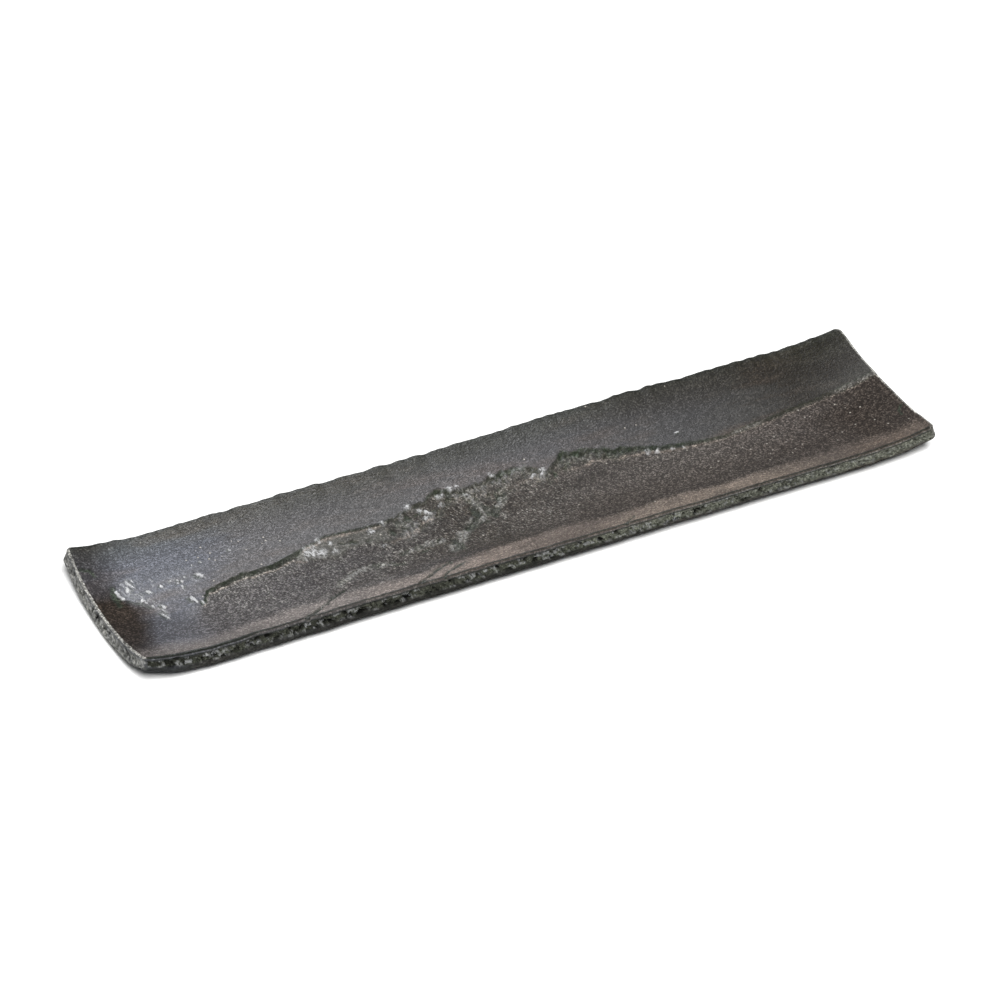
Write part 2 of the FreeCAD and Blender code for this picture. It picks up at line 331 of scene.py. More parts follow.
# the tear in the tray's top layer: places are mm along and across the flat slab
cleft = {
    "line": [
        (-109, -5.5), (-105, -4.6), (-103.4, -2.6), (-102.4, -0.4), (-101, 0.8), (-98, 1.8), (-94, 2.7),
        (-88, 3.9), (-85, 3.4), (-78, 4.0), (-75, 5.0), (-71, 6.1), (-66, 7.4), (-62, 8.5), (-59, 9.6),
        (-50, 9.2), (-42, 8.5), (-38, 8.7), (-35, 9.6), (-30, 11.6), (-27, 12.5), (-24, 12.3), (-21, 14.2),
        (-18, 15.2), (-15, 14.8), (-10, 13.1), (-5, 13.2), (2, 15.0), (9, 15.3), (13, 14.0), (18, 10.0),
        (20, 10.4), (22, 12.5), (25, 15.0), (27, 15.8), (33, 14.2), (37, 13.5), (42, 11.5), (50, 9.3),
        (56, 6.9), (65, 5.0), (74, 3.3), (78, 3.0), (84, 4.0), (95, 5.3), (105, 6.8), (120, 8.3), (138, 8.8),
    ],
    "raggedMiddle": 0.9, "raggedEnds": 0.35, "raggedFine": 0.34, "raggedLip": 1.5,
    "opens": (-114, -98), "shelved": (-72, -64, 26, 38), "crumbled": (-44, -36, 40, 54),  # mm along
    "depth": [
        (-107, 0), (-104, 0.6), (-99, 1.05), (-72, 1.25), (-62, 1.0), (20, 1.0), (34, 0.9), (56, 0.6),
        (80, 0.4), (138, 0.35),
    ],
    "riser": [  # run of the step
        (-105, 0.8), (-90, 0.9), (-74, 1.3), (-70, 1.6), (-66, 0.5), (-44, 0.5), (-38, 0.9), (14, 1.3),
        (24, 1.7), (44, 1.7), (62, 1.5), (76, 0.9), (90, 1.1), (110, 1.5), (138, 1.8),
    ],
    "pool": [  # dark glaze in the step
        (-107, 1), (-68, 1), (-64, 0.9), (-46, 0.9), (-38, 0.5), (-30, 0.3), (-23, 0.35), (-21, 0.9),
        (-15, 0.9), (-12, 0.3), (1, 0.4), (4, 0.9), (11, 0.9), (14, 0.3), (22, 0.4), (25, 0.85), (44, 0.9),
        (79, 0.8), (81, 0.1), (91, 0.1), (96, 0.8), (119, 0.7), (122, 0.1), (138, 0.1),
    ],
    "upperShare": [  # drop before the shelf
        (-72, 1.0), (-66, 0.35), (-45, 0.40), (-36, 0.6), (30, 0.65), (54, 1.0),
    ],
    "terrace": [  # width of the shelf
        (-72, 0), (-66, 4.7), (-62, 6.8), (-58, 9.2), (-52, 6.6), (-46, 6.0), (-40, 7.8), (-30, 8.2),
        (-25, 7.2), (-20, 5.6), (-17, 3.4), (-13, 1.6), (-10, 3.4), (-5, 2.5), (0, 5.8), (5, 5.0), (10, 3.5),
        (18, 1.8), (22, 2.2), (28, 4.8), (36, 2.4), (42, 1.5), (50, 0.8), (54, 0),
    ],
    "sink": (0.6, 1.2),  # mm that marks on the lowered floor lie farther right and back than they seem to
    "hollow": 0.9,  # how much deeper than the old skin the torn floor is, half-way to the lip
    "lip": [  # width of the old skin along the front
        (-136, 8.4), (-100, 8.0), (-84, 8.2), (-62, 7.6), (-40, 7.4), (-34, 9.0), (0, 9.2), (20, 8.6),
        (55, 8.6), (90, 9.2), (138, 8.2),
    ],
    "lipFade": [(-136, 6.0), (-60, 4.5), (0, 3.4), (70, 4.0), (137, 6.0)],
    # painted shade darkens the left end, where the tilted glaze catches no sheen: mm across, then how far in,
    # how gradually it pales, how dark it is
    "shadeLine": [
        (-31, -128), (-24, -127.5), (-20, -126), (-12, -124.5), (-8, -122.3), (0, -122.3), (4, -124.5),
        (8, -127), (16, -125), (31, -125),
    ],
    "paling": [(-31, 8), (-20, 9), (-12, 6), (0, 5), (4, 3.5), (8, 3), (16, 6.5), (31, 6.5)],
    "shadeStrength": [(-31, 0.85), (-16, 0.95), (6, 1.0), (12, 0.65), (18, 0.57), (31, 0.57)],
    "plateHeight": 0.36, "holeDepth": 0.50, "slabHeight": 0.35, "heapHeight": 0.35, "brinkDepth": 0.25,  # mm
    "fibreHeight": 0.12, "sandHeight": 0.06, "lumpHeight": 0.11, "beaten": 0.10, "skinHeight": 0.015,
    "sparks": [(96, -8, 24, 9), (-88, 12, 16, 8)],  # where painted sparkle gathers: place, reach each way
}
# what lies broken in the tear, and the flakes and cracks of the whole skin
broken = {
    # chips of the broken edge, their colour painted white as highlights: along, across, reach (mm)
    "heaps": [
        (-66, 3.4, 3.0), (-64.8, 4.8, 2.0), (-62.6, 2.0, 1.8), (-61.5, 7.3, 1.3), (-58.5, 5.2, 1.0),
        (-58.3, 1.0, 1.7), (-45, 5.0, 1.4), (-40, 7.2, 1.1), (-43.6, -2.2, 1.1), (-29.8, 10.6, 1.2),
        (-27, 8.2, 1.2), (-24.6, 6.2, 1.3), (-26.5, 4.4, 1.4), (-18, 11.8, 1.3), (-14, 13.4, 1.1),
        (-11.5, 12.6, 1.1), (-10, 9.3, 0.8), (-19, 8.4, 1.3), (1, 13.4, 0.9), (13.2, 8.9, 0.9),
        (16.4, 9.2, 1.1), (51.8, 5.2, 1.1), (54.6, 4.1, 1.1), (59.3, 3.0, 0.8), (63.2, 2.2, 0.7),
    ],
    # light slabs left standing: half the width, then places
    "slabs": [
        (0.9, [(-9.6, 7.5), (-8.6, 3.0), (-8.0, -0.6)]), (0.8, [(-2.8, -2.2), (-4.2, -6.2)]),
        (0.7, [(-0.8, 1.2), (0.4, 2.8), (1.6, 4.0)]), (1.0, [(-26, -16), (-24.5, -13.6), (-23, -12)]),
        (0.7, [(-47, 0.5), (-44.5, -1.5), (-42, -4)]), (0.8, [(-50.2, -10.6), (-47.4, -12.6)]),
        (0.7, [(-64, -14.6), (-64.6, -18)]), (0.6, [(-58.4, 2.2), (-58, -0.8), (-58.2, -5)]),
        (0.7, [(-30.4, 11.4), (-29.4, 9.6), (-27, 8.2), (-24.4, 6.4)]), (0.7, [(-30, -7.2), (-28.2, -7.8)]),
        (0.7, [(-15.4, -2.6), (-13, -4.4)]), (1.1, [(-35.6, 4.4), (-33.6, 4.8)]),
        (0.5, [(-85.2, 0), (-84.5, -4), (-85.5, -10), (-85.3, -13)]), (0.4, [(8.4, -8), (9, -11)]),
        (0.7, [(28.6, 11.2), (31.4, 9.8), (32.6, 8.8)]), (0.4, [(-79, -11.6), (-78.8, -13.6)]),
    ],
    # holes broken into the floor, painted dark as shade: along, across, reach each way
    "holes": [
        (-38.7, 2.5, 1.3, 1.9), (-31.5, 6.6, 1.2, 2.0), (-1.5, 5.0, 1.2, 3.2), (-10.8, 1.0, 1.8, 3.6),
        (-16.4, -5.6, 2.2, 2.4), (-23.8, -10.8, 1.4, 2.6), (-5.4, -2.6, 1.0, 2.0), (15, 12.0, 2.0, 0.9),
        (20, 7.0, 0.9, 1.6), (-51.6, 2.8, 1.8, 0.8), (-47, 1.6, 1.2, 0.8), (-55, 3.8, 1.8, 0.4),
        (-18, 14.0, 2.2, 0.9), (8, 14.0, 3.4, 0.8), (-28, 7.0, 1.8, 0.5), (-44, -13.8, 2.6, 0.9),
        (-34, -10.6, 2.4, 0.9), (25, 12.6, 1.4, 1.2), (-12.6, 12.9, 0.6, 1.0),
    ],
    # belts where the torn floor broke up again: half the width, then places
    "belts": [
        (2.0, [(-65, -16), (-58, -11.8), (-52, -10.8), (-46, -12.2)]),
        (1.9, [(-40, -7.8), (-32, -8.2), (-27, -7.4)]),
        (2.8, [(-25, -15), (-22, -10.8), (-17, -6.2), (-12, -3), (-7, -1), (-8.6, 4), (-10, 9)]),
        (2.0, [(-6, -2.5), (-1, 3), (1, 7)]),
    ],
    # lifted flakes: along, across, length, width, turn in degrees, height
    "flakes": [
        (-127.2, 9.0, 5.6, 0.9, -86, 0.30), (-123.8, 10.1, 3.4, 1.5, 66, 0.35),
        (-126.6, 6.8, 2.0, 1.2, -65, 0.30), (-121.4, 3.6, 2.4, 1.5, -50, 0.45),
        (-117.9, 7.0, 3.2, 1.0, -52, 0.40), (-116.8, -1.5, 3.6, 1.1, -70, 0.45),
        (-118.2, -6.1, 5.6, 0.8, -69, 0.40), (-120.8, 13.6, 1.4, 0.8, -60, 0.25),
        (-119.5, 0.2, 1.8, 0.7, -65, 0.30), (-113.4, 8.1, 2.2, 0.9, -62, 0.40),
        (-110.1, 9.2, 1.2, 0.9, -50, 0.30), (-107.8, 8.7, 1.4, 0.8, -65, 0.30),
        (-106.8, 7.7, 2.0, 0.9, -68, 0.40), (-105.4, 9.2, 1.2, 0.6, 70, 0.25),
        (-107.7, 5.3, 2.2, 0.9, 72, 0.40), (-108.5, 7.3, 1.0, 0.7, -60, 0.25),
        (-100.7, 7.9, 4.2, 1.5, -60, 0.60), (-107.2, -2.0, 4.6, 1.4, -78, 0.70),
        (-104.9, -4.2, 1.8, 0.9, -75, 0.40), (-101.0, 13.2, 1.0, 0.5, -70, 0.20),
        (-98.2, 13.8, 1.4, 0.6, -50, 0.25), (-88.0, 15.0, 1.6, 0.6, -60, 0.25),
        (64.8, 10.2, 2.2, 0.7, 12, 0.30),
    ],
    # cracks: depth, width, then places
    "cracks": [
        (0.70, 0.75, [(-65, -19.6), (-70, -22.4), (-75, -26.2), (-83, -30.6)]),
        (0.70, 0.80, [(-30, -21.6), (-35, -23.4), (-39, -26.2), (-44, -29.5)]),
        (0.50, 0.65, [(-27, -24.4), (-34, -27.6), (-37, -30.5)]),
        (0.35, 0.70, [(-105.8, -5.0), (-103.8, -3.6), (-102.8, -1.2), (-101.6, 0.4)]),
        (0.45, 0.60, [(-134.6, 21.8), (-132.2, 21.2), (-131.0, 18.6)]),
        (0.35, 0.50, [(25, -30.5), (28, -28.4), (30, -27)]),
        (0.30, 0.50, [(132.2, -15.6), (132.8, -12.6), (134.4, -10.8)]),
    ],
    # the patch of thin scales at the left end: the line it follows, half its width by mm across, its slant
    "patchLine": [(-122.6, 13.0), (-123.0, 8.0), (-120.4, 4.0), (-118.0, 0.0), (-117.6, -6.0)],
    "patchWidth": [(-8, 0.9), (-2, 1.7), (2, 2.4), (6, 3.6), (8, 4.3), (12, 4.0), (16, 2.4)],
    "patchSlant": -65.0,
    # painted shade along the brinks beside it: how dark, half the width, then places
    "brinkShades": [(1.0, 1.2, [(-127.6, 12.4), (-128.8, 8.2), (-128.8, 4.2)]),
               (0.6, 0.7, [(-125.6, 5.0), (-122.8, 2.8), (-120.4, -0.2)])],
}


# each point's way in front of the torn edge, and its drop down the step and shelf to the torn floor
def tornStep(s, a):
    step = SimpleNamespace(crumbled=zone(cleft["crumbled"], s), opening=smooth(*cleft["opens"], s))
    line = along(cleft["line"], s) + cleft["raggedEnds"] * grit(s, 0.0, 4.0, 11, 4)
    line = line + cleft["raggedMiddle"] * step.crumbled * grit(s, a / 2, 4.0, 13, 3)
    line = line + cleft["raggedFine"] * grit(s, a, 1.6, 15)
    step.ahead = line - a
    step.depth, step.riser = along(cleft["depth"], s), along(cleft["riser"], s)
    terrace = along(cleft["terrace"], s) * (1 + 0.1 * grit(s, 7.0, 7.0, 21, 3))
    step.terrace = np.maximum(terrace + 0.8 * zone(cleft["shelved"], s) * grit(s, a, 3.0, 23, 3), 0)
    step.stepped = smooth(0, 1.5, step.terrace)
    step.upper = smooth(0, 1, step.ahead / step.riser)
    lower = smooth(0, 1, (step.ahead - step.terrace) / (1.4 + 0.5 * step.riser))
    step.shelf = step.stepped * step.upper * (1 - lower)
    step.peeled = step.upper * step.opening
    step.lipLine = along(cleft["lip"], s) - tray["width"] / 2
    step.lipLine = step.lipLine + cleft["raggedLip"] * grit(s, a / 3, 20.0, 31, 3)
    share = 1 - (1 - along(cleft["upperShare"], s)) * step.stepped
    part = np.clip(step.ahead / np.maximum(line - step.lipLine, 1.0), 0, 1)
    drop = step.depth * (share * step.upper + (1 - share) * lower) * (1 - part) ** 0.8
    step.drop = drop + cleft["hollow"] * 4 * part * (1 - part) * step.opening
    return step


# crumbled plates in front of the torn edge, heaps, slabs, holes and belts, and the relief they give
def brokenFloor(s, a, step):
    rubble = step.crumbled * smooth(-0.4, 0.6, step.ahead)
    rubble = rubble * fade(step.terrace + 0.5, step.terrace + 5.0, step.ahead)
    rubble = rubble * smooth(-0.25, 0.30, grit(s, a, 6.0, 41) + 0.10)
    fs, fa = wander(s, a, 0.8, 2.4, (47, 48), 3)
    fs, fa = fs - cleft["sink"][0], fa - cleft["sink"][1]
    frayed = 0.4 * grit(s, a, 3.5, 49)
    inTear = smooth(-0.3, 0.5, step.ahead) * step.opening
    heap = most(*(fade(0.5, 1.1, np.hypot(fs - at, fa - over) / wide) for at, over, wide in broken["heaps"]))
    slab = most(*(fade(0.4, 1.1, nearLine(fs, fa, places) / wide) for wide, places in broken["slabs"]))
    hole = most(*(fade(0.4, 1.1, np.hypot((fs - at) / wide, (fa - over) / deep))
                  for at, over, wide, deep in broken["holes"]))
    belt = most(*(fade(0.35, 1.0, nearLine(fs, fa, places) / wide + frayed)
                  for wide, places in broken["belts"]))
    slab, hole, belt = (mark * inTear for mark in (slab, hole, belt))
    u, v = 0.87 * s - 0.5 * a + 0.4 * grit(s, a, 1.5, 43), 0.25 * s + 0.43 * a  # twice as long, leaning right
    big, gap = shards(u, v, 2.2, 45)
    plates = 0.7 * big + 0.5 * shards(u, v, 0.9, 46)[0] - 0.8 * fade(0.02, 0.25, gap)
    crumb = np.maximum(0.7 * rubble, 0.8 * belt) * inTear
    drop = cleft["holeDepth"] * hole - cleft["plateHeight"] * crumb * plates
    drop = drop - cleft["slabHeight"] * slab * (1 + 0.6 * plates)
    drop = drop - cleft["heapHeight"] * heap * (0.8 + 0.7 * plates)
    return SimpleNamespace(rubble=rubble, heap=heap, slab=slab, hole=hole, belt=belt, plates=plates,
                           crumb=crumb, drop=drop)


# the scales at the left end, drawn out slantwise, the brinks beside them with their painted shade, and their
# relief
def scalyPatch(s, a):
    u, v = turned(s, a, broken["patchSlant"])
    away = nearLine(s, a, broken["patchLine"]) / along(broken["patchWidth"], a) + 0.30 * grit(s, a, 3.0, 51)
    patch = fade(0.6, 1.1, away) * smooth(-0.65, 0.0, grit(u / 5, v, 1.8, 53))
    ws, wa = wander(s, a, 0.5, 2.0, (54, 52))
    brinkShade = most(*(dark * fade(0.4, 1.1, nearLine(ws, wa, places) / wide)
                   for dark, wide, places in broken["brinkShades"]))
    chips = 0.4 * shards(u / 4, v, 0.9, 55)[0] + 0.9 * grit(u / 6, v, 1.0, 56)
    sheenVeil = bell(a, 8.5, 5.5) * zone((-127, -121, -108, -98), s)  # painted sheen: a band of finer scales round about
    drop = cleft["brinkDepth"] * brinkShade - patch * (0.10 + 0.36 * chips)
    return SimpleNamespace(patch=patch, brinkShade=brinkShade, chips=chips, sheenVeil=sheenVeil, drop=drop)


# each flake an oval plate, tilted across its width: its height, its painted highlight and the painted shadow
# before it
def liftedFlakes(s, a):
    lift, shine, shadow = (np.zeros(np.shape(s)) for _ in range(3))
    frayed = 0.26 * grit(s, a, 0.9, 71)
    for at, over, long, wide, turn, high in broken["flakes"]:
        u, v = turned(s - at, a - over, turn)
        u, v = u / (long / 2), v / (0.6 * wide)
        shape = fade(0.6, 1.1, np.hypot(u, v) + frayed)
        lift = lift + high * shape * (0.55 + 0.45 * v)
        shine = np.maximum(shine, shape)
        shadow = np.maximum(shadow, fade(0.5, 1.1, np.hypot(u + 0.2, v + 1.2)))
    return lift, shine, shadow


def dryingCracks(s, a):  # ragged grooves: how deep, and how much painted shade lies in them
    ws, wa = wander(s, a, 0.5, 2.0, (73, 75))
    away = [(deep, nearLine(ws, wa, places) / wide) for deep, wide, places in broken["cracks"]]
    depth = sum(deep * fade(0.2, 1.0, far) for deep, far in away)
    return depth, most(*(fade(0.3, 1.1, far) for deep, far in away))


# dark glaze pooled in the step, partly painted shade on the step's face and in the holes, hollows and brinks;
# and the step's light band, a painted highlight
def pooledGlazeAndShade(s, a, step, debris, scales):
    face = smooth(-0.25, 0.1, step.ahead) * fade(0.75, 1.3, step.ahead / step.riser)
    ledge = step.stepped * zone((-0.3, 0.2, 0.6, 1.4), step.ahead - step.terrace)
    ledge = ledge * smooth(-0.2, 0.4, grit(s, 9.0, 5.0, 57))
    poolAndShade = np.maximum(face, 0.2 * ledge) * smooth(0.1, 0.6, step.depth) * along(cleft["pool"], s)
    lumpy = 0.3 * zone((18, 24, 46, 56), s) * grit(s, a, 1.8, 59)
    poolAndShade = poolAndShade * (0.8 + 0.35 * grit(s, a, 3.0, 58) + lumpy)
    slope = step.shelf * smooth(20, 24, s)  # right of the notch the step is one lumpy slope, painted dark as shade
    slope = slope * (0.20 + 0.45 * smooth(32, 42, s) + 0.5 * grit(s, a, 2.4, 60))
    twin = zone((78, 82, 90, 95), s) + smooth(119, 123, s)  # there it is a painted highlight between two lines of painted shade
    fine = bell(step.ahead, 0.1, 0.22) + bell(step.ahead - step.riser, 0.1, 0.22)
    # painted shade in the hollows between broken plates and between scales
    hollowShade = 1.3 * debris.crumb * smooth(0.0, 0.6, -debris.plates)
    hollowShade = np.clip(hollowShade + scales.patch * smooth(0.2, 0.7, -scales.chips), 0, 1)
    poolAndShade = np.clip(most(poolAndShade, slope, 0.6 * twin * fine, 0.85 * debris.hole), 0, 1)
    return most(poolAndShade, 0.6 * hollowShade, 0.9 * scales.brinkShade), 0.22 * twin * face * (1 - np.clip(fine, 0, 1))


def paintedGlints(s, debris, scales):  # painted highlights: light colour where broken plates, heaps and scales would catch the light
    paintedGlint = np.maximum(0.24 * debris.rubble * (1 - 0.75 * smooth(18, 24, s)), 0.20 * debris.belt)
    paintedGlint = np.maximum(paintedGlint * smooth(-0.1, 0.6, debris.plates), debris.heap * (0.76 + 0.3 * debris.plates))
    paintedGlint = np.clip(paintedGlint + scales.patch * (0.20 + 0.80 * smooth(0.1, 0.55, scales.chips)), 0, 1)
    return np.maximum(paintedGlint, scales.sheenVeil * (0.08 + 0.40 * smooth(0.25, 0.8, scales.chips)))


def darkening(s, a, step, lip, patch):  # where it is darker: painted shade at the turned-up ends, darker bands behind the lip, at the front right and by the back rim
    shadeEdge, paling = along(cleft["shadeLine"], a) + 1.5 * grit(s, a, 12.0, 33), along(cleft["paling"], a)
    leftEnd = along(cleft["shadeStrength"], a) * fade(shadeEdge - paling, shadeEdge + paling, s)
    leftFront = 0.35 * fade(-122, -107, s) * zone((-23, -18, -8, -2), a)
    seam = bell(a - step.lipLine, 2.2, 2.0) * zone((5, 25, 85, 115), s)  # behind the lip
    seam = 0.55 * seam * smooth(-0.3, 0.3, grit(s, a, 12.0, 35))
    frontRight = 0.45 * smooth(-5, 25, s) * fade(-15, 1, a) * (1 - lip)
    rightEnd = 0.6 * smooth(104, 130, s) + 0.35 * zone((96, 112, 118, 130), s) * fade(-3, 4, a)
    rightEnd = rightEnd * step.upper * (1 - lip)
    backRim = 0.32 * zone((30, 60, 96, 116), s) * smooth(15, 26, a)
    return most(most(leftEnd, leftFront) * (1 - patch), seam, frontRight, rightEnd, backRim)


# painted highlight: the light line at the foot of the step, broken up in the middle, thin and whole elsewhere
def paintedFootHighlight(s, a, step):
    afterShelf = (step.stepped > 0.5) & (along(cleft["upperShare"], s) >= 0.5)
    below = step.ahead - np.where(afterShelf, step.terrace, 0) - step.riser
    left = fade(-74, -64, s)
    thin = np.maximum(smooth(56, 84, s), left)
    patchy = 0.45 + 0.5 * smooth(-0.4, 0.3, grit(s, a, 5.0, 77))
    patchy = patchy * (1 - 0.7 * zone((-24, -20, 22, 34), s))
    whole = 0.5 + 0.25 * left + 0.25 * grit(s, a, 2.5, 78)
    footHighlight = smooth(-0.2, 0.3, below) * fade(0.4, 1.7 - 0.6 * thin, below) * smooth(0.1, 0.5, step.depth)
    return footHighlight * ((1 - thin) * patchy + thin * whole)


# depth (mm) cut into the flat slab's top at (along, across), and how far each finish shows there
def skinRelief(s, a):
    step = tornStep(s, a)
    debris = brokenFloor(s, a, step)
    scales = scalyPatch(s, a)
    lift, shine, shadow = liftedFlakes(s, a)
    crackDepth, crackShade = dryingCracks(s, a)

    # fibres torn across the slab, strongest in front of the middle; lumps and blotches at the left
    strong = zone((-52, -40, 14, 32), s) * smooth(-20, -11, a)
    leftward = 0.45 * zone((-104, -96, -46, -36), s)
    fibre = np.clip(0.15 + leftward + 0.85 * np.maximum(0.8 * strong, 0.6 * debris.belt), 0, 1) * step.peeled
    halfWide = tray["width"] / 2
    leftFloor = step.peeled * fade(-46, -30, s) * fade(halfWide - 10, halfWide - 5, -a)
    blotch = grit(s, a, 6.0, 37, 3)
    raised = lift + cleft["fibreHeight"] * fibre * grit(s + 0.3 * a, a / 5.0, 1.2, 61)
    raised = raised + cleft["sandHeight"] * step.peeled * grit(s, a, 1.6, 63)
    raised = raised + cleft["lumpHeight"] * leftFloor * grit(s, a, 2.2, 69, 3)
    raised = raised + cleft["beaten"] * grit(s, a, 34.0, 65)  # by hand
    raised = raised + cleft["skinHeight"] * (1 - step.peeled) * grit(s, a, 1.6, 67)
    drop = step.drop + debris.drop + scales.drop + crackDepth - raised

    # painted highlights of the broken floor and of the lifted flakes
    paintedGlint = np.maximum(paintedGlints(s, debris, scales), shine)
    poolAndShade, band = pooledGlazeAndShade(s, a, step, debris, scales)
    # painted shadow before the flakes and painted shade in the cracks go into the dark green
    poolAndShade = most(poolAndShade, 0.8 * shadow * (1 - paintedGlint), 0.95 * crackShade)
    litTops = smooth(-0.6, 0.4, debris.plates)
    underStepLight = 0.11 * step.peeled * fade(2, 9, step.ahead) * fade(-66, -58, s)  # painted light: paler close under the step
    # light places: pale slabs, with painted light on raised plate tops, the step's painted highlight band and
    # painted light under the step
    paleAndLit = most(0.36 * debris.slab * (0.5 + 0.5 * litTops), 0.22 * debris.belt * litTops, band, underStepLight,
                0.08 * leftFloor * smooth(0.0, 0.7, blotch))
    lip = smooth(-0.3, 0.7, (step.lipLine - a) / along(cleft["lipFade"], s))
    lip = lip * (1 - 0.4 * smooth(124, 137, np.abs(s)))
    lip = lip * (1 - 0.3 * smooth(0.0, 0.6, grit(s / 2, a, 7.0, 36, 3)))  # worn thin in blotches
    # painted shade at the ends, with darker bands and blotches
    darkened = darkening(s, a, step, lip, scales.patch)
    darkened = np.maximum(darkened, 0.16 * leftFloor * smooth(0.0, 0.7, -blotch))
    dry = smooth(0, 1, step.ahead / (step.riser + 12 * fade(-114, -103, s))) * smooth(-124, -104, s)
    spark = most(*(bell(s, at, long) * bell(a, over, wide) for at, over, long, wide in cleft["sparks"]))
    return drop, {"dry": dry, "darkened": darkened, "shelf": step.shelf * (1 - 0.75 * step.crumbled), "lip": lip,
                  "poolAndShade": poolAndShade, "paintedGlint": paintedGlint, "crumb": debris.crumb, "paleAndLit": paleAndLit,
                  "footHighlight": paintedFootHighlight(s, a, step), "olive": smooth(18, 30, a), "fibre": fibre,
                  "spark": 0.03 + 0.55 * spark}


# the flat slab rolled round the trough's axis, then its ends rolled up; t is the depth under the skin
def bend(s, a, t):
    turn = a / tray["troughRadius"]
    ring = tray["troughRadius"] + t
    y, rise = ring * np.sin(turn), tray["troughRadius"] - ring * np.cos(turn)
    level = tray["length"] / 2 - tray["endRun"]
    swing = np.maximum(np.abs(s) - level, 0) / tray["endRadius"]
    arm = tray["endRadius"] - rise
    x = np.sign(s) * (np.minimum(np.abs(s), level) + arm * np.sin(swing))
    under = math.sqrt((tray["troughRadius"] + tray["wall"]) ** 2 - (tray["baseWidth"] / 2) ** 2)
    trough = trayFoot + under - tray["troughRadius"]  # height of the trough line
    return x, y, trough + tray["endRadius"] - arm * np.cos(swing)


def outOfTrue(s, a):  # how much higher than the true slab the hand-made one stands (mm)
    lift = (tray["backRise"] * smooth(-20, 40, s) - tray["backDrop"] * smooth(105, 136, s)) * smooth(4, 30, a)
    lift = lift + tray["backLift"] * smooth(14, 30, a)
    lift = lift - tray["leftSag"] * fade(-136, -112, s) * (1 - (a / 31) ** 2)
    lift = lift + tray["rightCrown"] * smooth(112, 136, s) * bell(a, -4, 16)
    wavy = 0.7 * ripple(s, 0.5, 24.0, 81) + 0.5 * grit(s, 1.5, 9.0, 83, 3) + 0.45 * grit(s, 3.5, 4.2, 87)
    lift = lift + tray["backRagged"] * wavy * smooth(22, 30, a) * fade(118, 134, np.abs(s))
    return lift + tray["frontRagged"] * grit(s, 4.5, 12.0, 85, 3) * smooth(20, 30, -a)


# mm that the slab is thinner than true near its edge: read along it, and a round hollow at one corner
def lacking(s, a):
    cornerS, cornerA = tray["cornerAt"]
    corner = bell(np.hypot(s - cornerS, a - cornerA), 0, tray["cornerReach"])
    return along(tray["thinning"], s) + tray["cornerLack"] * corner


# a grid whose corner cells are drawn in to a round corner (square to disc)
def roundedGrid(s, a, sizeS, sizeA, r):
    cs, ca = np.clip((np.abs(s) - sizeS + r) / r, 0, 1), np.clip((np.abs(a) - sizeA + r) / r, 0, 1)
    roundS = np.where(cs > 0, np.sign(s) * (sizeS - r + r * cs * np.sqrt(1 - ca * ca / 2)), s)
    roundA = np.where(ca > 0, np.sign(a) * (sizeA - r + r * ca * np.sqrt(1 - cs * cs / 2)), a)
    return roundS.ravel(), roundA.ravel()


def wallProfile(ends):  # (outward, down) from the rim: a round, a straight wall and a round under it
    rim, wall = tray["rimRound"], tray["wall"]
    under = tray["underRound"] + (tray["endUnderRound"] - tray["underRound"]) * ends
    arc, foot = (np.radians(angles)[:, None] for angles in (tray["rimAngles"], tray["underAngles"]))
    flat = np.linspace(0, 1, tray["wallCells"] + 1)[1:, None]
    out = [rim * np.sin(arc) + 0 * ends, rim + 0 * flat * ends, rim - under + under * np.cos(foot)]
    down = [rim * (1 - np.cos(arc)) + 0 * ends, rim + (wall - under - rim) * flat,
            wall - under + under * np.sin(foot)]
    return np.concatenate(out), np.concatenate(down)


